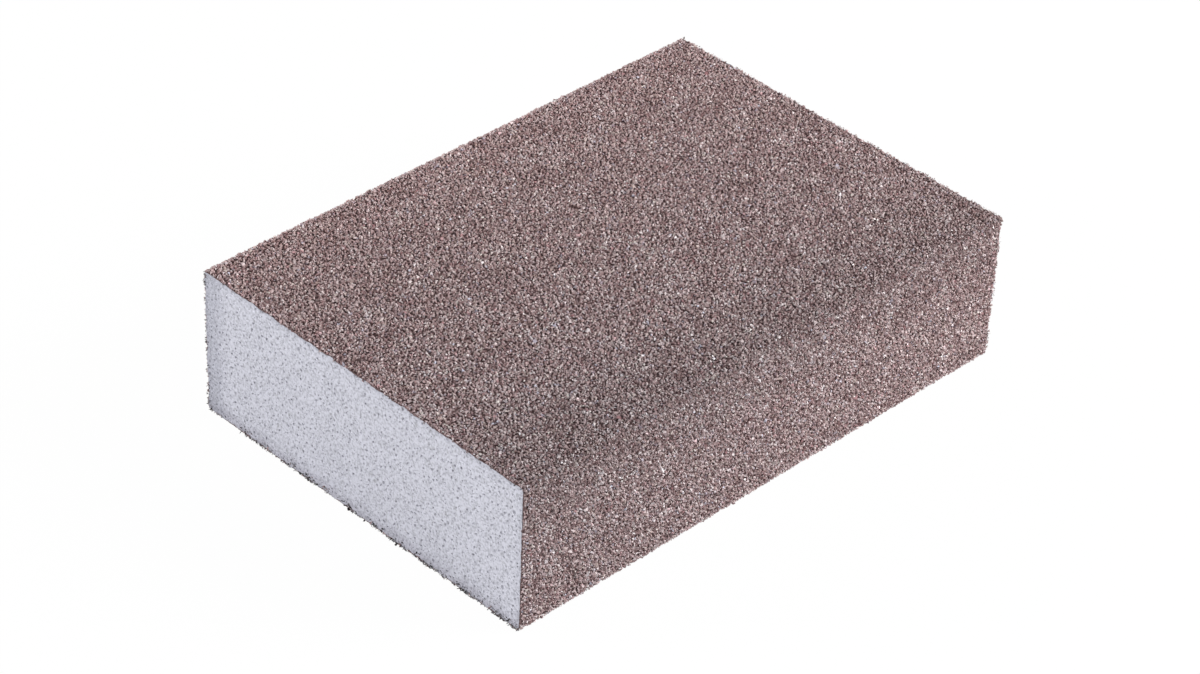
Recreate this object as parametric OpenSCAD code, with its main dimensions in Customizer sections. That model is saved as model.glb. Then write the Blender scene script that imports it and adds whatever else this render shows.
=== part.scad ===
// Sanding sponge: a block of fine-celled foam with abrasive bonded round its four long sides.
// The two short ends are cut faces, where the bare foam and the edge of the abrasive show.
// +X runs along the sponge, +Y across it and +Z up. The origin is the centre of the face it lies on.

/* [Sponge] */
// Length from one cut end to the other
sponge_length = 100; // [40:0.5:250]
// Width across the abrasive on the two narrow sides
sponge_width = 69.5; // [30:0.5:160]
// Height across the abrasive on the two broad faces
sponge_height = 26; // [12:0.1:80]

/* [Foam] */
// Radius of the foam's four long edges, under the abrasive
foam_edge_radius = 0.5; // [0.2:0.1:3]

/* [Abrasive] */
// Thickness of the resin and grain bonded to the foam
coat_thickness = 0.45; // [0.3:0.05:2]

/* [Hidden] */
// Segments of a full circle, for the rounded long edges
$fn = 64;
// The foam ends where the abrasive begins, on all four sides
foam_width = sponge_width - 2 * coat_thickness;
foam_height = sponge_height - 2 * coat_thickness;
// The abrasive keeps one thickness as it turns over each long edge
coat_edge_radius = foam_edge_radius + coat_thickness;

// Cross-section with four rounded corners, centred on the origin
module rounded_section(width, height, corner_radius) {
    square([width - 2 * corner_radius, height], center = true);
    square([width, height - 2 * corner_radius], center = true);
    for (side = [-1, 1], level = [-1, 1])
        translate([side * (width / 2 - corner_radius), level * (height / 2 - corner_radius)])
            circle(r = corner_radius);
}

// Outline of the bare foam
module foam_section() {
    rounded_section(foam_width, foam_height, foam_edge_radius);
}

// Outline of the whole sponge, over the abrasive
module sponge_section() {
    rounded_section(sponge_width, sponge_height, coat_edge_radius);
}

// Runs a cross-section from one cut end to the other, with the sponge lying on z = 0
module along_sponge() {
    translate([-sponge_length / 2, 0, sponge_height / 2])
        rotate([90, 0, 90])
            linear_extrude(height = sponge_length)
                children();
}

// Foam block, cut square at both ends
module foam_core() {
    color([0.77, 0.77, 0.81])
        along_sponge()
            foam_section();
}

// Abrasive sleeve, bonded to the foam on the two broad faces and the two narrow sides
module abrasive_coat() {
    color([0.54, 0.47, 0.47])
        along_sponge()
            difference() {
                sponge_section();
                foam_section();
            }
}

foam_core();
abrasive_coat();
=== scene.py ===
"""Looks of the sanding sponge: pale foam with open cells, in a coat of resin full of grains.

Everything is in metres in the CAD frame: +X along the sponge, +Y across it, +Z up, lying on z = 0.
"""

import math
from typing import NamedTuple

import bmesh
import bpy
import numpy as np
from mathutils import Matrix, Vector
from mathutils.geometry import delaunay_2d_cdt


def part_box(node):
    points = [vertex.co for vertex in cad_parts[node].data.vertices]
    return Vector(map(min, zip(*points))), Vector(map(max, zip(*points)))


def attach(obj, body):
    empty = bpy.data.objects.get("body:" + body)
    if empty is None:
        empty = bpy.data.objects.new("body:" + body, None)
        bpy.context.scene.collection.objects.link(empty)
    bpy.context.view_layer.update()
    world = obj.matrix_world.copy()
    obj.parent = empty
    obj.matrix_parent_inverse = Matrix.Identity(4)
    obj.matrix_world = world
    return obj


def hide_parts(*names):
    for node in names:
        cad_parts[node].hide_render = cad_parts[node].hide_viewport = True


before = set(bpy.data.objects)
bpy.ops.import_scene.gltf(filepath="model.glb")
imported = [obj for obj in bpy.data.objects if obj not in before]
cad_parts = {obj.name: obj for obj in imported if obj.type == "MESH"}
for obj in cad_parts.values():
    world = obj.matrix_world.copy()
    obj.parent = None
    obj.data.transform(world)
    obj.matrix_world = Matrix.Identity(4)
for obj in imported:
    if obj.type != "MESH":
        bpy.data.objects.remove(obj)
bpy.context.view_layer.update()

# ---------------------------------------------------------------- sizes read from the frame
coat_low, coat_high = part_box("abrasive_coat")
_, foam_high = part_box("foam_core")
LENGTH = coat_high.x - coat_low.x
WIDTH = coat_high.y - coat_low.y
HEIGHT = coat_high.z - coat_low.z
COAT = coat_high.y - foam_high.y


def edge_radius_of(node, high):
    """Radius of a node's long edges: how far its flat top stops short of its side."""
    places = [v.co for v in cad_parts[node].data.vertices]
    flat_top = max(p.y for p in places if p.z > high.z - 1e-6)
    return high.y - flat_top


EDGE_RADIUS = edge_radius_of("abrasive_coat", coat_high)

# ---------------------------------------------------------------- sizes of the finish
MM = 0.001

SEED = 20  # of the grain shapes; build() counts on from it for the strips of grains
CRUMB_SEED = SEED + 70
BED_SEED = SEED + 80
FOAM_SEED = SEED + 90

BED_DEPTH = 0.30 * MM  # resin between the grains, below the coat's surface
BED_CUT_BACK = 0.05 * MM  # how far the resin's cut ends lie behind the foam's
LIP_REACH = 0.25 * MM  # length of the lip at each cut end, where the resin is pressed thicker
LIP_RAGGED = 0.12 * MM  # how unevenly it is pressed

GRAIN_SHAPES = 60  # how many different ones there are
CRUMB_SHAPES = 40
GRAIN_PITCH = 0.345 * MM
GRAIN_WIDTH = 0.375 * MM
GRAIN_RISE = 0.10 * MM  # how far the tips stand out of the coat, apart from the proud ones
TIP_SCATTER = 0.15 * MM  # how much lower the lowest tips lie
PROUD = 0.18 * MM  # how much further the few largest grains stand out
PROUD_GROWTH = 0.5  # how much wider those are than the rest
PROUD_RARITY = 10  # a power: the higher, the fewer they are
BROAD_LEAN = 0.34  # spread of the grains' slopes on the top and bottom
NARROW_LEAN = 0.17  # and on the two narrow sides
DARK_SHARE = 0.2  # the part of the lightness scale that only the crumbs reach
GREY_TINT = 1.0  # the end of the hue scale, which only the grey crumbs reach
PATCHINESS = 0.05  # share of the lightness scale

FOAM_LAP = 0.05 * MM  # how far the foam reaches into the resin
FOAM_WOBBLE = 0.10 * MM  # how far the rim of a cut face wanders
NEAR_CALM = 0.3  # of that wobble, on the near side
FOAM_RAGGED = 0.02 * MM  # fine raggedness of the rim
FOAM_UNEVEN = 0.008 * MM  # waviness of a cut face
FOAM_SHARPNESS = 0.7  # of the cut face's corners, where 1 is square
LOOP_STEP = 0.16 * MM  # between the points round a section
CELL_MARGIN = 0.25 * MM  # clear foam between the open cells and the rim
CELL_SPACING = 1.25  # cells keep this times both their radii apart, and CELL_GAP more
CELL_GAP = 0.03 * MM
CELL_GRID = 0.6 * MM  # squares in which the cells nearby are looked for

UV_FACE = 0.36  # of the foam's UV map, for each cut face
UV_BAND = 0.08  # and for each band of the hidden walls between them
UV_GAP = 0.01


# ---------------------------------------------------------------- meshes
def triangles_object(name, points, triangles, uv, material):
    """A flat-shaded mesh object from numpy points, triangles and one (u, v) for each corner."""
    mesh = bpy.data.meshes.new(name)
    mesh.vertices.add(len(points))
    mesh.vertices.foreach_set("co", np.asarray(points, np.float32).ravel())
    mesh.loops.add(3 * len(triangles))
    mesh.loops.foreach_set("vertex_index", np.asarray(triangles, np.int32).ravel())
    mesh.polygons.add(len(triangles))
    mesh.polygons.foreach_set("loop_start", np.arange(0, 3 * len(triangles), 3, dtype=np.int32))
    mesh.polygons.foreach_set("use_smooth", np.zeros(len(triangles), bool))
    mesh.update(calc_edges=True)
    layer = mesh.uv_layers.new(name="OFBake")
    layer.uv.foreach_set("vector", np.asarray(uv, np.float32).ravel())
    mesh.materials.append(material)
    piece = bpy.data.objects.new(name, mesh)
    bpy.context.scene.collection.objects.link(piece)
    return piece


def hull(points):
    """Vertices and outward triangles of the convex hull of a few points."""
    solid = bmesh.new()
    for p in points:
        solid.verts.new(p)
    bmesh.ops.convex_hull(solid, input=solid.verts)
    bmesh.ops.delete(solid, geom=[v for v in solid.verts if not v.link_faces], context="VERTS")
    bmesh.ops.triangulate(solid, faces=solid.faces)
    bmesh.ops.recalc_face_normals(solid, faces=solid.faces)
    solid.verts.index_update()
    vertices = np.array([v.co for v in solid.verts])
    triangles = np.array([[v.index for v in f.verts] for f in solid.faces])
    solid.free()
    return vertices, triangles


def band(low, high, count):
    """Triangles between two closed rows of points, which start at the indices low and high."""
    this = np.arange(count)
    after = (this + 1) % count
    first = np.column_stack([low + this, low + after, high + after])
    second = np.column_stack([low + this, high + after, high + this])
    return np.concatenate([first, second])


def band_uv(count, low, high):
    """Corners for band(): u once round, and v between two values."""
    this = np.arange(count) / count
    after = this + 1 / count
    lows, highs = np.full(count, low), np.full(count, high)
    first = np.stack([this, lows, after, lows, after, highs], 1)
    second = np.stack([this, lows, after, highs, this, highs], 1)
    return np.concatenate([first, second]).reshape(-1, 2)


# ---------------------------------------------------------------- the four coated walls
class Wall:
    """One flat side of the sponge, with half of the rounded edge at either end of it.

    A place on it is (along, across): along X, and across from the wall's middle, round the edges.
    Its grains stand out by rise and lean by about lean. At the cut ends its resin comes up to
    lip_depth, the foam spreads over it to foam_depth, and its grains stand out by overhang.
    """

    def __init__(self, name, outward, half_flat, distance, rise, lean, cut):
        self.name = name
        self.rise = rise
        self.lean = lean
        self.lip_depth, self.foam_depth, self.overhang = (size * MM for size in cut)
        self.outward = np.array(outward, float)
        self.sideways = np.array([-outward[1], outward[0]], float)
        self.half_flat = half_flat
        self.distance = distance
        self.half_reach = half_flat + EDGE_RADIUS * math.pi / 4

    def frame_at(self, across, depth):
        """Points (y, z), and outward and sideways directions, at some depth below the envelope."""
        bent = (np.abs(across) - self.half_flat).clip(0) / EDGE_RADIUS * np.sign(across)
        out = np.outer(np.cos(bent), self.outward) + np.outer(np.sin(bent), self.sideways)
        side = np.outer(np.cos(bent), self.sideways) - np.outer(np.sin(bent), self.outward)
        centre = np.outer(across.clip(-self.half_flat, self.half_flat), self.sideways)
        centre += (self.distance - EDGE_RADIUS) * self.outward
        centre[:, 1] += HEIGHT / 2
        place = centre + out * (EDGE_RADIUS - depth)[:, None]
        return place, out, side


# lip_depth, foam_depth and overhang of each kind of cut end, in mm
CLEAN_CUT = (0.24, 0.40, 0.08)
TORN_CUT = (0.12, 0.34, -0.04)
SMEARED_CUT = (0.30, 0.30, -0.04)

HALF_FLAT_BROAD = WIDTH / 2 - EDGE_RADIUS
HALF_FLAT_NARROW = HEIGHT / 2 - EDGE_RADIUS
BOTTOM_RISE = 0.0  # the sponge lies on the tips of these grains
TOP = Wall("top", (0, 1), HALF_FLAT_BROAD, HEIGHT / 2, GRAIN_RISE, BROAD_LEAN, CLEAN_CUT)
BOTTOM = Wall("bottom", (0, -1), HALF_FLAT_BROAD, HEIGHT / 2, BOTTOM_RISE, BROAD_LEAN, TORN_CUT)
NEAR = Wall("side_near", (-1, 0), HALF_FLAT_NARROW, WIDTH / 2, GRAIN_RISE, NARROW_LEAN, CLEAN_CUT)
FAR = Wall("side_far", (1, 0), HALF_FLAT_NARROW, WIDTH / 2, GRAIN_RISE, NARROW_LEAN, SMEARED_CUT)
WALLS_ROUND = (BOTTOM, FAR, TOP, NEAR)  # counter-clockwise in (y, z)


def loop_at(depth):
    """Points (y, z) once round the section, where depth(wall, across) is below the envelope."""
    places = []
    for wall in WALLS_ROUND:
        steps = round(2 * wall.half_reach / LOOP_STEP)
        across = np.linspace(-wall.half_reach, wall.half_reach, steps, endpoint=False)
        places.append(wall.frame_at(across, depth(wall, across))[0])
    return np.concatenate(places)


def even(depth):
    """The same depth all round."""
    return lambda wall, across: np.full(len(across), depth)


def wobbly(rng):
    """The foam's depth at a cut end, which wanders in soft waves, least on the near side."""

    def wandering(wall, across):
        depth = wall.foam_depth
        bent = (np.abs(across) - wall.half_flat).clip(0) / EDGE_RADIUS
        sharper = FOAM_SHARPNESS * (EDGE_RADIUS - depth) * (1 / np.cos(bent) - 1)
        amount = FOAM_WOBBLE * (NEAR_CALM if wall is NEAR else 1.0)
        wander = np.zeros(len(across))
        for period in rng.uniform(1.2 * MM, 9 * MM, 10):
            wander += np.cos(across / period * 2 * math.pi + rng.uniform(0, 2 * math.pi))
        fade = ((wall.half_reach - np.abs(across)) / (2 * MM)).clip(0, 1)
        ragged = rng.normal(0, FOAM_RAGGED, len(across))
        return depth - sharper + fade * (amount * wander / math.sqrt(5) + ragged)

    return wandering


def waves(rng, a, b, shortest, longest, count):
    """Soft waves over the places (a, b), each with its own period and direction, added up."""
    pattern = np.zeros(len(a))
    for period in rng.uniform(shortest, longest, count):
        way = rng.uniform(0, 2 * math.pi)
        place = (a * math.cos(way) + b * math.sin(way)) / period
        pattern += np.cos(place * 2 * math.pi + rng.uniform(0, 2 * math.pi))
    return pattern


# ---------------------------------------------------------------- grains and crumbs
def ring_of_corners(rng, count, stray, reaches, levels):
    """Points round the middle, each up to stray radians out of its even place."""
    turn = rng.uniform(0, 2 * math.pi) + np.arange(count) * 2 * math.pi / count
    turn += rng.uniform(-stray, stray, count)
    reach = rng.uniform(*reaches, count)
    level = rng.uniform(*levels, count)
    return np.stack([reach * np.cos(turn), reach * np.sin(turn), level], 1)


def grain_shapes(rng, count):
    """Sharp blocky grains about 1 wide: a broad foot with one or two corners above it."""
    shapes = []
    for number in range(count):
        foot = ring_of_corners(rng, 3, 0.3, (0.55, 0.8), (-0.5, -0.3))
        top = ring_of_corners(rng, 2 - number % 2, 0.5, (0.15, 0.36), (0.0, 0.28))
        shapes.append(hull(np.concatenate([foot, top])))
    return shapes


def crumb_shapes(rng, count):
    """Rough crumbs about 1 across, each longer one way than the others."""
    shapes = []
    for number in range(count):
        corners = rng.normal(0, 1, (7, 3))
        corners /= np.linalg.norm(corners, axis=1)[:, None]
        thin = (1.5, 0.9, 0.8) if number % 4 else (2.4, 0.6, 0.5)
        shapes.append(hull(corners * rng.uniform(0.35, 0.6, (7, 1)) * thin))
    return shapes


def strewn_piece(name, shapes, which, origins, turns, tints, material, stand=None, half=LENGTH):
    """Copies of small shapes as one piece, each with its own tint and its own cell of the UV map.

    turns are 3x3 matrices that turn, lean and size a copy. Where stand gives outward directions,
    each copy sinks until its tip is level with its origin. The piece ends at half either way
    along X, and on the floor.
    """
    points, triangles, copies, first = [], [], [], 0
    for number, (vertices, faces) in enumerate(shapes):
        chosen = np.flatnonzero(which == number)
        place = np.einsum("nij,vj->nvi", turns[chosen], vertices)
        if stand is not None:
            height = np.einsum("nvi,ni->nv", place, stand[chosen])
            place -= height.max(1)[:, None, None] * stand[chosen][:, None]
        place += origins[chosen][:, None]
        offsets = first + np.arange(len(chosen))[:, None, None] * len(vertices)
        points.append(place.reshape(-1, 3))
        triangles.append((faces[None] + offsets).reshape(-1, 3))
        copies.append(np.repeat(chosen, len(vertices)))
        first += len(chosen) * len(vertices)
    points, triangles, copies = (np.concatenate(part) for part in (points, triangles, copies))
    points[:, 0] = points[:, 0].clip(-half, half)
    points[:, 2] = points[:, 2].clip(0)

    # all the triangles of a copy fill most of its own cell of the map
    cells = math.ceil(math.sqrt(len(origins)))
    copy_of_face = copies[triangles[:, 0]]
    cell = np.column_stack([copy_of_face % cells, copy_of_face // cells])
    corner = np.array([(0.15, 0.15), (0.85, 0.15), (0.5, 0.85)])
    uv = (cell[:, None] + corner[None]) / cells
    piece = triangles_object(name, points, triangles, uv, material)
    tint = piece.data.attributes.new("tint", "FLOAT_VECTOR", "POINT")
    tint.data.foreach_set("vector", tints[copies].astype(np.float32).ravel())
    return piece


def jittered_places(rng, wall, low, high):
    """Places (along, across) between two values of across, scattered over a staggered grid."""
    columns = round(LENGTH / GRAIN_PITCH)
    rows = max(1, round((high - low) / GRAIN_PITCH))
    column, row = np.meshgrid(np.arange(columns), np.arange(rows), indexing="ij")
    column = column.ravel() + 0.5 * (row.ravel() % 2) + rng.uniform(-0.1, 1.1, column.size)
    row = row.ravel() + rng.uniform(-0.1, 1.1, row.size)
    along = -LENGTH / 2 + column / (columns + 0.5) * LENGTH
    across = low + row / rows * (high - low)
    kept = (np.abs(along) < LENGTH / 2 - BED_CUT_BACK) & (np.abs(across) < wall.half_reach)
    return along[kept], across[kept]


def patches(rng, along, across):
    """A soft pattern of lighter and darker patches, about -1 to 1."""
    return waves(rng, along, across, 3 * MM, 14 * MM, 16) / 4


def axes_in_space(out, side):
    """Matrices whose columns are the directions along X, sideways and outward."""
    axes = np.zeros((len(out), 3, 3))
    axes[:, 0, 0] = 1
    axes[:, 1:, 1] = side
    axes[:, 1:, 2] = out
    return axes


def grain_piece(name, wall, low, high, shapes, material, seed):
    """All the grains on one strip of a wall, as one piece."""
    rng = np.random.default_rng(seed)
    along, across = jittered_places(rng, wall, low, high)
    count = len(along)
    proud = rng.uniform(0, 1, count) ** PROUD_RARITY
    tip_depth = rng.uniform(0, 1, count) ** 1.5 * TIP_SCATTER - PROUD * proud
    place, out, side = wall.frame_at(across, tip_depth - wall.rise)
    size = GRAIN_WIDTH * rng.lognormal(0, 0.2, count).clip(0.6, 1.5) * (1 + PROUD_GROWTH * proud)
    turn = rng.uniform(0, 2 * math.pi, count)
    lean = rng.normal(0, wall.lean, (count, 2))
    turns = np.zeros((count, 3, 3))
    turns[:, 0, :2] = np.column_stack([np.cos(turn), -np.sin(turn)])
    turns[:, 1, :2] = np.column_stack([np.sin(turn), np.cos(turn)])
    turns[:, 2, 2] = 1
    turns[:, 2, :2] = np.einsum("ni,nij->nj", lean, turns[:, :2, :2])
    turns = axes_in_space(out, side) @ turns * size[:, None, None]
    tints = rng.uniform(0, 1, (count, 3))
    tints[:, 0] = DARK_SHARE + (1 - DARK_SHARE) * tints[:, 0]
    tints[:, 0] += PATCHINESS * patches(rng, along, across)
    origins = np.column_stack([along, place])
    stand = np.column_stack([np.zeros(count), out])
    which = rng.integers(0, len(shapes), count)
    half = LENGTH / 2 + wall.overhang
    return strewn_piece(name, shapes, which, origins, turns, tints, material, stand, half)


def any_turns(rng, count):
    """Random rotations, as 3x3 matrices."""
    first = rng.normal(0, 1, (count, 3))
    first /= np.linalg.norm(first, axis=1)[:, None]
    second = np.cross(first, rng.normal(0, 1, (count, 3)))
    second /= np.linalg.norm(second, axis=1)[:, None]
    return np.stack([first, second, np.cross(first, second)], 2)


class Crumbs(NamedTuple):
    """One strewing of crumbs along a wall's cut edge, at both ends of the sponge."""

    wall: Wall
    per_mm: float  # tried on each mm of the edge; about half are kept, in clusters
    largest: float  # mm
    darkest: float  # its place on the grain's lightness scale
    spread: float  # how much higher the lightest is
    deepest: float  # below the envelope, in thicknesses of the coat
    grey: float = 0.0  # share that is grey dust and not brown grain
    slope: float = 0.0  # how much rarer they get towards the wall's sideways direction


CRUMBS = (
    # a dense band on the coat, one that reaches over the foam, and a few large dark crumbs; along
    # the bottom they are partly real crumbs and dust and partly dark crumbs put there as painted
    # shade
    Crumbs(BOTTOM, 17, 0.42, 0.04, 0.65, 1.3, grey=0.75, slope=0.25),
    Crumbs(BOTTOM, 20, 0.42, 0.02, 0.60, 2.8, grey=0.75, slope=0.25),
    Crumbs(BOTTOM, 3, 0.62, 0.00, 0.15, 2.6, grey=1.0, slope=0.25),
    # a thinner line on the other three sides
    Crumbs(FAR, 12, 0.36, 0.02, 0.40, 1.5, grey=0.8, slope=-0.1),
    Crumbs(TOP, 8, 0.34, 0.08, 0.60, 1.1),
    Crumbs(NEAR, 7, 0.30, 0.12, 0.60, 1.0),
)


def strewn_crumbs(rng, end, crumbs):
    """Origins, sizes and tints of one strewing at one end of the sponge."""
    wall = crumbs.wall
    count = round(2 * wall.half_reach / MM * crumbs.per_mm)
    across = rng.uniform(-wall.half_reach, wall.half_reach, count)
    kept_share = 0.5 + 0.6 * patches(rng, across, across) - crumbs.slope * across / wall.half_reach
    across = across[rng.uniform(0, 1, count) < kept_share]
    count = len(across)
    sizes = rng.uniform(0.4, 1, count) ** 1.5 * crumbs.largest * MM
    depth = rng.uniform(0, 1, count) ** 1.5 * crumbs.deepest * COAT
    place = wall.frame_at(across, depth)[0]
    stand_off = rng.uniform(-0.5, 0.3, count) * sizes
    origins = np.column_stack([end * (LENGTH / 2 + stand_off), place])
    tints = rng.uniform(0, 1, (count, 3))
    tints[:, 0] = crumbs.darkest + crumbs.spread * tints[:, 0] ** 1.5
    tints[rng.uniform(0, 1, count) < crumbs.grey, 1] = GREY_TINT
    return origins, sizes, tints


def crumb_piece(material):
    """Crumbs of grain and resin on the coat's cut edges, most along the bottom, where the many
    dark ones also stand in as painted shade.
    """
    rng = np.random.default_rng(CRUMB_SEED)
    shapes = crumb_shapes(rng, CRUMB_SHAPES)
    strewn = [strewn_crumbs(rng, end, crumbs) for end in (-1, 1) for crumbs in CRUMBS]
    origins, sizes, tints = (np.concatenate(part) for part in zip(*strewn))
    turns = any_turns(rng, len(sizes)) * sizes[:, None, None]
    which = rng.integers(0, len(shapes), len(sizes))
    return strewn_piece("cut_crumbs", shapes, which, origins, turns, tints, material)


# ---------------------------------------------------------------- bed of resin
def lip(rng):
    """The depth of the resin's ragged lip at a cut end."""
    return lambda wall, across: wall.lip_depth + rng.uniform(0, LIP_RAGGED, len(across))


def bed_piece(material):
    """A closed sleeve from the foam to the resin's surface, cut off at both ends."""
    rng = np.random.default_rng(BED_SEED)
    outer, inner = loop_at(even(BED_DEPTH)), loop_at(even(COAT))
    half = LENGTH / 2 - BED_CUT_BACK
    count = len(outer)
    rows = [
        (-half, inner),
        (-half, loop_at(lip(rng))),
        (LIP_REACH - half, outer),
        (half - LIP_REACH, outer),
        (half, loop_at(lip(rng))),
        (half, inner),
    ]
    points = np.concatenate([np.column_stack([np.full(count, x), yz]) for x, yz in rows])
    triangles, uv = [], []
    for row in range(len(rows)):
        triangles.append(band(row * count, (row + 1) % len(rows) * count, count))
        uv.append(band_uv(count, (row + 0.05) / len(rows), (row + 0.95) / len(rows)))
    triangles, uv = np.concatenate(triangles), np.concatenate(uv)
    return triangles_object("resin_bed", points, triangles, uv, material)


# ---------------------------------------------------------------- foam
class CellKind(NamedTuple):
    """One size of open cells in the cut faces."""

    per_mm2: float  # tried on each square mm; those that touch others are left out
    radii: tuple  # least and greatest, in mm
    rim_corners: int
    floor_corners: int
    deepest: float  # in radii


CELL_KINDS = (
    CellKind(0.12, (0.28, 0.38), 7, 3, 0.4),
    CellKind(2.1, (0.18, 0.32), 6, 1, 0.8),
    CellKind(2.2, (0.11, 0.18), 4, 1, 1.1),
)


def cell_places(rng):
    """Open cells that keep clear of their neighbours: (y, z, radius, kind)."""
    half_y = WIDTH / 2 - COAT - CELL_MARGIN
    half_z = HEIGHT / 2 - COAT - CELL_MARGIN
    area = 4 * half_y * half_z / MM**2
    cells, near = [], {}
    for kind in CELL_KINDS:
        for radius in rng.uniform(*kind.radii, round(area * kind.per_mm2)) * MM:
            y, z = rng.uniform(-half_y, half_y), rng.uniform(-half_z, half_z)
            column, row = math.floor(y / CELL_GRID), math.floor(z / CELL_GRID)
            squares = [(column + i, row + j) for i in (-1, 0, 1) for j in (-1, 0, 1)]
            others = [other for square in squares for other in near.get(square, ())]
            if any(
                math.hypot(y - other_y, z - other_z)
                < CELL_SPACING * (radius + other_radius) + CELL_GAP
                for other_y, other_z, other_radius in others
            ):
                continue
            near.setdefault((column, row), []).append((y, z, radius))
            cells.append((y, HEIGHT / 2 + z, radius, kind))
    return cells


def cell_points(rng, y, z, radius, kind):
    """Rim and floor of one open cell: points (y, z) and their depths, the rim's first."""
    turn = rng.uniform(0, 2 * math.pi)
    long, short = rng.uniform(1.0, 1.3), rng.uniform(0.7, 1.0)
    depth = kind.deepest * rng.uniform(0.3, 1)
    rings = []
    for number, reach, level in ((kind.rim_corners, 1.0, 0.0), (kind.floor_corners, 0.5, depth)):
        around = (np.arange(number) + rng.uniform(-0.25, 0.25, number)) * 2 * math.pi / number
        reach = reach * radius * (0 if number == 1 else 1)
        u, v = long * reach * np.cos(around), short * reach * np.sin(around)
        ring = np.stack(
            [
                y + u * math.cos(turn) - v * math.sin(turn),
                z + u * math.sin(turn) + v * math.cos(turn),
                np.full(number, level * radius),
            ],
            1,
        )
        rings.append(ring)
    return rings


def foam_end(rng, loop):
    """The cut face inside a loop: points (y, z, depth) and triangles that face +X."""
    rows = [np.column_stack([loop, np.zeros(len(loop))])]
    edges = [(i, (i + 1) % len(loop)) for i in range(len(loop))]
    first = len(loop)
    for cell in cell_places(rng):
        rim, floor_ring = cell_points(rng, *cell)
        corners = len(rim)
        edges.extend((first + i, first + (i + 1) % corners) for i in range(corners))
        rows.extend((rim, floor_ring))
        first += corners + len(floor_ring)
    points = np.concatenate(rows)
    flat = [Vector((y / MM, z / MM)) for y, z in points[:, :2]]
    found, _, faces, sources, _, _ = delaunay_2d_cdt(flat, edges, [], 1, 1e-5)
    depths = [points[source[0], 2] if source else 0.0 for source in sources]
    places = np.column_stack([np.array(found) * MM, depths])
    return places, np.array(faces)


def unevenness(rng, y, z):
    """A gentle waviness of the cut face."""
    return FOAM_UNEVEN * waves(rng, y, z, 3 * MM, 12 * MM, 10) / math.sqrt(5)


def foam_piece(material):
    """The foam block as a closed mesh: two cut faces with open cells, and hidden walls between."""
    rng = np.random.default_rng(FOAM_SEED)
    points, triangles, uv, rims = [], [], [], []
    first = 0
    for number, end in enumerate((-1, 1)):
        loop = loop_at(wobbly(rng))
        places, faces = foam_end(rng, loop)
        y, z, depth = places.T
        x = end * (LENGTH / 2 + unevenness(rng, y, z) - depth)
        points.append(np.column_stack([x, y, z]))
        faces = faces if end > 0 else faces[:, ::-1]
        triangles.append(first + faces)
        v = number * UV_FACE + UV_GAP + z / HEIGHT * (UV_FACE - 2 * UV_GAP)
        flat = np.column_stack([0.5 + y / WIDTH, v])
        uv.append(flat[faces].reshape(-1, 2))
        rims.append(first)
        first += len(places)
    count = len(loop)
    inner = loop_at(even(COAT - FOAM_LAP))
    inner_half = LENGTH / 2 - 3 * FOAM_WOBBLE
    inner_rows = []
    for end in (-1, 1):
        inner_rows.append(first)
        points.append(np.column_stack([np.full(count, end * inner_half), inner]))
        first += count
    rows = [rims[0], inner_rows[0], inner_rows[1], rims[1]]
    for number in range(3):
        triangles.append(band(rows[number], rows[number + 1], count)[:, ::-1])
        low = 2 * UV_FACE + 2 * UV_GAP + UV_BAND * number
        high = low + UV_BAND - UV_GAP
        uv.append(band_uv(count, low, high).reshape(-1, 3, 2)[:, ::-1].reshape(-1, 2))
    points, triangles, uv = (np.concatenate(part) for part in (points, triangles, uv))
    return triangles_object("foam_block", points, triangles, uv, material)


# ---------------------------------------------------------------- materials
def new_material(name):
    """A material, its node tree and its shader."""
    material = bpy.data.materials.new(name)
    material.use_nodes = True
    tree = material.node_tree
    return material, tree, tree.nodes["Principled BSDF"]


def value_into(tree, value, socket):
    """Puts a number, a colour or another node's output into a socket."""
    if isinstance(value, bpy.types.NodeSocket):
        tree.links.new(value, socket)
    else:
        socket.default_value = value


def ramp(tree, fac, stops, interpolation="LINEAR"):
    """The colour that a number stands for, between stops of (position, colour)."""
    made = tree.nodes.new("ShaderNodeValToRGB")
    made.color_ramp.interpolation = interpolation
    points = made.color_ramp.elements
    for position, _ in stops[2:]:
        points.new(position)
    for point, (position, colour) in zip(points, stops):
        point.position = position
        point.color = (*colour, 1)
    tree.links.new(fac, made.inputs["Fac"])
    return made.outputs["Color"]


def times(tree, a, b):
    """Colour a multiplied by colour b."""
    mix = tree.nodes.new("ShaderNodeMix")
    mix.data_type = "RGBA"
    mix.blend_type = "MULTIPLY"
    mix.inputs["Factor"].default_value = 1
    tree.links.new(a, mix.inputs["A"])
    tree.links.new(b, mix.inputs["B"])
    return mix.outputs["Result"]


def maths(tree, operation, a, b=0.0):
    """One step of arithmetic on numbers or other nodes' outputs."""
    made = tree.nodes.new("ShaderNodeMath")
    made.operation = operation
    value_into(tree, a, made.inputs[0])
    value_into(tree, b, made.inputs[1])
    return made.outputs[0]


def noise(tree, place, period, detail=2.0):
    """Noise from about 0 to 1, whose features are about a period wide."""
    made = tree.nodes.new("ShaderNodeTexNoise")
    made.inputs["Scale"].default_value = 1 / period
    made.inputs["Detail"].default_value = detail
    tree.links.new(place, made.inputs["Vector"])
    return made.outputs["Fac"]


def object_place(tree):
    """The place in the frame, and its x, y and z."""
    place = tree.nodes.new("ShaderNodeTexCoord").outputs["Object"]
    parts = tree.nodes.new("ShaderNodeSeparateXYZ")
    tree.links.new(place, parts.inputs["Vector"])
    return place, parts.outputs


def distance(tree, place, other):
    """How far a place is from a fixed point."""
    made = tree.nodes.new("ShaderNodeVectorMath")
    made.operation = "DISTANCE"
    tree.links.new(place, made.inputs[0])
    made.inputs[1].default_value = other
    return made.outputs["Value"]


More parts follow.
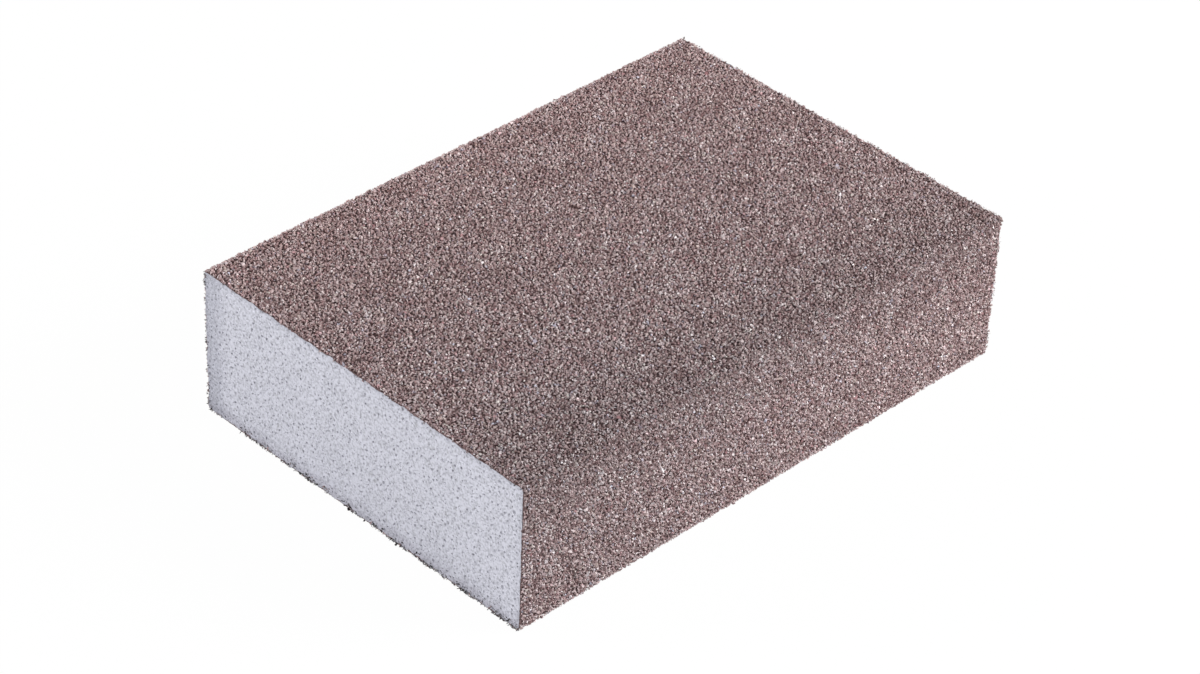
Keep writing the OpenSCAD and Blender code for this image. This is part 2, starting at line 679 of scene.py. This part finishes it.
def stretched(tree, place, factors):
    """A place with its x, y and z multiplied by factors."""
    made = tree.nodes.new("ShaderNodeVectorMath")
    made.operation = "MULTIPLY"
    tree.links.new(place, made.inputs[0])
    made.inputs[1].default_value = factors
    return made.outputs["Vector"]


def grey(*stops):
    """Stops for a ramp, from (position, lightness)."""
    return [(position, (level,) * 3) for position, level in stops]


# by a grain's first tint
GRAIN_LIGHTNESS = (
    (0.0, (0.012, 0.008, 0.007)),
    (0.1, (0.048, 0.029, 0.026)),
    (0.2, (0.220, 0.128, 0.131)),
    (0.4, (0.314, 0.215, 0.218)),
    (0.8, (0.426, 0.340, 0.344)),
    (0.92, (0.476, 0.406, 0.413)),
    (0.98, (0.528, 0.474, 0.482)),
    (1.0, (0.640, 0.590, 0.600)),
)
# by its second, one hue up to the next position
GRAIN_HUES = (
    (0.0, (1.0, 1.0, 1.0)),
    (0.55, (1.02, 0.99, 0.98)),
    (0.70, (0.98, 1.00, 1.03)),
    (0.84, (0.99, 1.015, 0.95)),
    (0.955, (1.14, 0.91, 0.95)),
    (0.97, (0.86, 0.98, 1.15)),
    (GREY_TINT, (0.78, 1.12, 1.20)),
)
# by its third, from dull to glossy
GRAIN_ROUGHNESS = grey((0.0, 0.55), (0.8, 0.42), (0.95, 0.32))


def grain_warmth_and_painted_shading(tree, place):
    """Soft changes of the grain's tone over the sponge, each to multiply the colour by.

    It gets warmer away from the top's near corner; painted shade darkens that corner and the near
    top edge, and painted light makes it a little lighter along the far one.
    """

    def away_from(corner, stretch, reach, stops):
        """A tone by the distance from a corner, where stretch makes a direction count more."""
        centre = [size * factor for size, factor in zip(corner, stretch)]
        far = distance(tree, stretched(tree, place, stretch), centre)
        return ramp(tree, maths(tree, "DIVIDE", far, reach), stops)

    near_corner = (-LENGTH / 2, -WIDTH / 2, HEIGHT)
    far_corner = (-LENGTH / 2, WIDTH / 2, HEIGHT)
    warmth = away_from(
        near_corner,
        stretch=(0.6, 1.2, 1),
        reach=85 * MM,
        stops=[(0.15, (1.0, 1.0, 1.0)), (1.0, (1.04, 0.970, 0.949))],
    )
    # painted shade: darker at the top's near corner
    painted_corner_shade = away_from(
        near_corner,
        stretch=(0.15, 1, 1),
        reach=22 * MM,
        stops=grey((0.2, 0.96), (0.8, 1.0)),
    )
    # painted shade: darker along the near top edge
    painted_near_edge_shade = away_from(
        near_corner,
        stretch=(0, 1, 1.7),
        reach=17 * MM,
        stops=grey((0.2, 0.88), (0.68, 0.93), (1.0, 1.0)),
    )
    # painted light: a little lighter along the far top edge
    painted_far_edge_shading = away_from(
        far_corner,
        stretch=(0, 1, 0),
        reach=12 * MM,
        stops=grey((0.3, 1.07), (1.0, 1.0)),
    )
    return warmth, painted_corner_shade, painted_near_edge_shade, painted_far_edge_shading


def grain_material():
    """Brown mineral, whose lightness, hue and gloss come from the three tints of each grain."""
    material, tree, shader = new_material("abrasive_grain")
    tint = tree.nodes.new("ShaderNodeAttribute")
    tint.attribute_name = "tint"
    parts = tree.nodes.new("ShaderNodeSeparateXYZ")
    tree.links.new(tint.outputs["Vector"], parts.inputs["Vector"])
    hue = ramp(tree, parts.outputs["Y"], GRAIN_HUES, "CONSTANT")
    colour = ramp(tree, parts.outputs["X"], GRAIN_LIGHTNESS)
    place, _ = object_place(tree)
    # hue, warmth, and painted shade and light over the sponge, multiplied into the colour
    for layer in (hue, *grain_warmth_and_painted_shading(tree, place)):
        colour = times(tree, colour, layer)
    tree.links.new(colour, shader.inputs["Base Color"])
    roughness = ramp(tree, parts.outputs["Z"], GRAIN_ROUGHNESS, "CONSTANT")
    tree.links.new(roughness, shader.inputs["Roughness"])
    shader.inputs["IOR"].default_value = 1.6
    return material


def resin_material():
    """Dark brown resin with soft lighter blotches."""
    material, tree, shader = new_material("abrasive_resin")
    place, _ = object_place(tree)
    colour = ramp(
        tree,
        noise(tree, place, 0.4 * MM),
        [(0.3, (0.062, 0.032, 0.032)), (0.7, (0.134, 0.075, 0.075))],
    )
    tree.links.new(colour, shader.inputs["Base Color"])
    shader.inputs["Roughness"].default_value = 0.5
    return material


FOAM_COLOUR = (0.481, 0.483, 0.543, 1)


def foam_texture(tree, place, x):
    """The foam's own unevenness, and painted shade in its open cells, each layer to multiply the
    colour by.
    """
    fine = ramp(
        tree,
        noise(tree, place, 0.375 * MM, 1),
        grey((0.24, 0.56), (0.55, 0.955), (0.72, 1.0)),
    )
    specks = ramp(
        tree,
        noise(tree, place, 0.8 * MM),
        [(0.27, (0.74, 0.74, 0.72)), (0.38, (1.0, 1.0, 1.0))],
    )
    broad = ramp(tree, noise(tree, place, 4 * MM), grey((0.3, 0.975), (0.7, 1.0)))
    # painted shade: darker the deeper a place lies in an open cell
    depth = maths(tree, "SUBTRACT", LENGTH / 2, maths(tree, "ABSOLUTE", x))
    painted_cell_shade = ramp(
        tree,
        maths(tree, "DIVIDE", depth, 0.5 * MM),
        [(0.03, (1.0, 1.0, 1.0)), (0.35, (0.60, 0.60, 0.62)), (1.0, (0.40, 0.40, 0.42))],
    )
    return fine, specks, broad, painted_cell_shade


def foam_edge_smudges_and_painted_shade(tree, place, y, z):
    """Painted shade on the foam near the rim, most at the bottom and far edges, where the bottom
    also has grey smudges, to multiply the colour by.
    """

    def less(a, b):
        return maths(tree, "SUBTRACT", a, b)

    def stray(amount, factors):
        """A random length, up to half the amount either way, in blotches 1 mm over factors."""
        blotches = noise(tree, stretched(tree, place, factors), MM, 3)
        return maths(tree, "MULTIPLY", less(blotches, 0.5), amount)

    def across(width, distance_in, wander, stops):
        """A tone by the distance in from an edge, as a share of the width."""
        share = maths(tree, "DIVIDE", maths(tree, "ADD", distance_in, wander), width)
        return ramp(tree, share, stops)

    from_side = less(WIDTH / 2, maths(tree, "ABSOLUTE", y))
    from_broad = less(HEIGHT / 2, maths(tree, "ABSOLUTE", less(z, HEIGHT / 2)))
    # painted shade: darker in a band all round the rim of the cut face
    rim = across(
        width=2 * MM,
        distance_in=maths(tree, "MINIMUM", from_side, from_broad),
        wander=stray(1.2 * MM, (0.8, 0.8, 0.8)),
        stops=[(0.2, (0.86, 0.86, 0.865)), (0.5, (0.955, 0.955, 0.96)), (0.9, (1.0, 1.0, 1.0))],
    )
    # darker along the bottom: partly grey smudges, partly painted contact shade
    smudge_and_painted_shade = across(
        width=4 * MM,
        distance_in=z,
        wander=stray(6 * MM, (0.9, 0.45, 0.9)),
        stops=[
            (0.0, (0.880, 0.868, 0.880)),
            (0.25, (0.800, 0.789, 0.802)),
            (0.4, (0.834, 0.826, 0.836)),
            (0.6, (0.922, 0.922, 0.927)),
            (0.85, (1.0, 1.0, 1.0)),
        ],
    )
    # painted shade: darker along the far edge
    painted_far_edge_shading = across(
        width=6 * MM,
        distance_in=less(WIDTH / 2, y),
        wander=stray(4 * MM, (0.4, 0.6, 0.4)),
        stops=[
            (0.44, (0.80, 0.805, 0.82)),
            (0.62, (0.905, 0.905, 0.915)),
            (0.92, (1.0, 1.0, 1.0)),
        ],
    )
    return rim, smudge_and_painted_shade, painted_far_edge_shading


def foam_material():
    """Pale foam, with painted shade in its open cells and near its rim, grey smudges at the
    bottom, and a fine bump.
    """
    material, tree, shader = new_material("cut_foam")
    place, (x, y, z) = object_place(tree)
    pale = tree.nodes.new("ShaderNodeRGB")
    pale.outputs[0].default_value = FOAM_COLOUR
    colour = pale.outputs[0]
    # the foam's own mottle, and painted shade in its cells and at its edges
    for layer in (*foam_texture(tree, place, x), *foam_edge_smudges_and_painted_shade(tree, place, y, z)):
        colour = times(tree, colour, layer)
    tree.links.new(colour, shader.inputs["Base Color"])
    shader.inputs["Roughness"].default_value = 0.85

    bump = tree.nodes.new("ShaderNodeBump")
    bump.inputs["Strength"].default_value = 0.5
    bump.inputs["Distance"].default_value = 0.03 * MM
    tree.links.new(noise(tree, place, 0.15 * MM), bump.inputs["Height"])
    tree.links.new(bump.outputs["Normal"], shader.inputs["Normal"])
    return material


# ---------------------------------------------------------------- build
def build():
    """Every piece of the sponge, and the nodes that it stands for."""
    shapes = grain_shapes(np.random.default_rng(SEED), GRAIN_SHAPES)
    grain_finish = grain_material()
    pieces = []
    for number, wall in enumerate((TOP, BOTTOM, NEAR, FAR)):
        strips = ("_a", "_b") if wall in (TOP, BOTTOM) else ("",)
        bounds = np.linspace(-wall.half_reach, wall.half_reach, len(strips) + 1)
        for strip, letter in enumerate(strips):
            low, high = bounds[strip : strip + 2]
            seed = SEED + 10 * number + strip
            name = f"grit_{wall.name}{letter}"
            pieces.append(grain_piece(name, wall, low, high, shapes, grain_finish, seed))
    pieces.append(crumb_piece(grain_finish))
    bed = bed_piece(resin_material())
    pieces.append(bed)
    for piece in pieces:
        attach(piece, "root")
    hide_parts("abrasive_coat")

    foam = foam_piece(foam_material())
    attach(foam, "root")
    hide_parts("foam_core")


# ---------------------------------------------------------------- stage
AZIMUTH = -45.62  # degrees from straight in front of the near side
ELEVATION = 36.24
ROLL = 2.60
CAMERA_DISTANCE = 555.27 * MM
AIM_RIGHT = -0.847 * MM  # how far right of the sponge's middle the camera aims
AIM_UP = -3.741 * MM  # and how far above it
LENS = 109.46  # mm, on a sensor of SENSOR mm
SENSOR = 36

WHITE_SHARE = 0.98  # of the floor that is plain white to the camera
SKY = 0.44  # strength of the even light from all round
LAMPS = (
    # name, place, size, watts
    ("key", (0.50, -0.50, 0.38), 0.4, 8.9),
    ("fill", (-0.70, 0.65, 0.20), 0.4, 9.4),
)


def camera():
    """Looks down on the sponge from beyond its near left corner, with a long lens."""
    azimuth, elevation, roll = (math.radians(angle) for angle in (AZIMUTH, ELEVATION, ROLL))
    back = Vector(
        (
            math.sin(azimuth) * math.cos(elevation),
            -math.cos(azimuth) * math.cos(elevation),
            math.sin(elevation),
        )
    )
    level_right = (-back).cross(Vector((0, 0, 1))).normalized()
    level_up = level_right.cross(-back)
    target = Vector((0, 0, HEIGHT / 2)) + AIM_RIGHT * level_right + AIM_UP * level_up
    right = level_right * math.cos(roll) + level_up * math.sin(roll)
    up = level_up * math.cos(roll) - level_right * math.sin(roll)
    data = bpy.data.cameras.new("camera")
    data.sensor_width = SENSOR
    data.lens = LENS
    data.clip_start = 0.01
    seen = bpy.data.objects.new("camera", data)
    axes = Matrix((right, up, back)).transposed()
    seen.matrix_world = Matrix.Translation(target + back * CAMERA_DISTANCE) @ axes.to_4x4()
    bpy.context.scene.collection.objects.link(seen)
    bpy.context.scene.camera = seen


def floor():
    """A white floor: lit as any pale floor, but nearly all white to the camera."""
    bpy.ops.mesh.primitive_plane_add(size=6)
    plane = bpy.context.object
    plane.name = "floor"
    material, tree, shader = new_material("white_floor")
    shader.inputs["Base Color"].default_value = (0.9, 0.9, 0.9, 1)
    shader.inputs["Roughness"].default_value = 0.9
    path = tree.nodes.new("ShaderNodeLightPath")
    glow = tree.nodes.new("ShaderNodeEmission")
    share = maths(tree, "MULTIPLY", path.outputs["Is Camera Ray"], WHITE_SHARE)
    mix = tree.nodes.new("ShaderNodeMixShader")
    tree.links.new(share, mix.inputs["Fac"])
    tree.links.new(shader.outputs[0], mix.inputs[1])
    tree.links.new(glow.outputs[0], mix.inputs[2])
    tree.links.new(mix.outputs[0], tree.nodes["Material Output"].inputs["Surface"])
    plane.data.materials.append(material)


def sky():
    """An even white dome, and plain white behind the object."""
    world = bpy.data.worlds.new("world")
    bpy.context.scene.world = world
    world.use_nodes = True
    tree = world.node_tree
    dome = tree.nodes["Background"]
    dome.inputs["Color"].default_value = (1, 1, 1, 1)
    dome.inputs["Strength"].default_value = SKY
    white = tree.nodes.new("ShaderNodeBackground")
    white.inputs["Color"].default_value = (1, 1, 1, 1)
    path = tree.nodes.new("ShaderNodeLightPath")
    mix = tree.nodes.new("ShaderNodeMixShader")
    tree.links.new(path.outputs["Is Camera Ray"], mix.inputs["Fac"])
    tree.links.new(dome.outputs[0], mix.inputs[1])
    tree.links.new(white.outputs[0], mix.inputs[2])
    tree.links.new(mix.outputs[0], tree.nodes["World Output"].inputs["Surface"])


def panel(name, place, size, power):
    """A square lamp that faces the sponge."""
    data = bpy.data.lights.new(name, "AREA")
    data.size = size
    data.energy = power
    lamp = bpy.data.objects.new(name, data)
    lamp.location = place
    lamp.rotation_euler = (-Vector(place)).to_track_quat("-Z", "Y").to_euler()
    bpy.context.scene.collection.objects.link(lamp)


build()
camera()
floor()
sky()
for lamp in LAMPS:
    panel(*lamp)
bpy.context.scene.view_settings.view_transform = "Standard"


def corners(box):
    """A box's low and high corners as plain numbers."""
    return [[float(v) for v in corner] for corner in box]
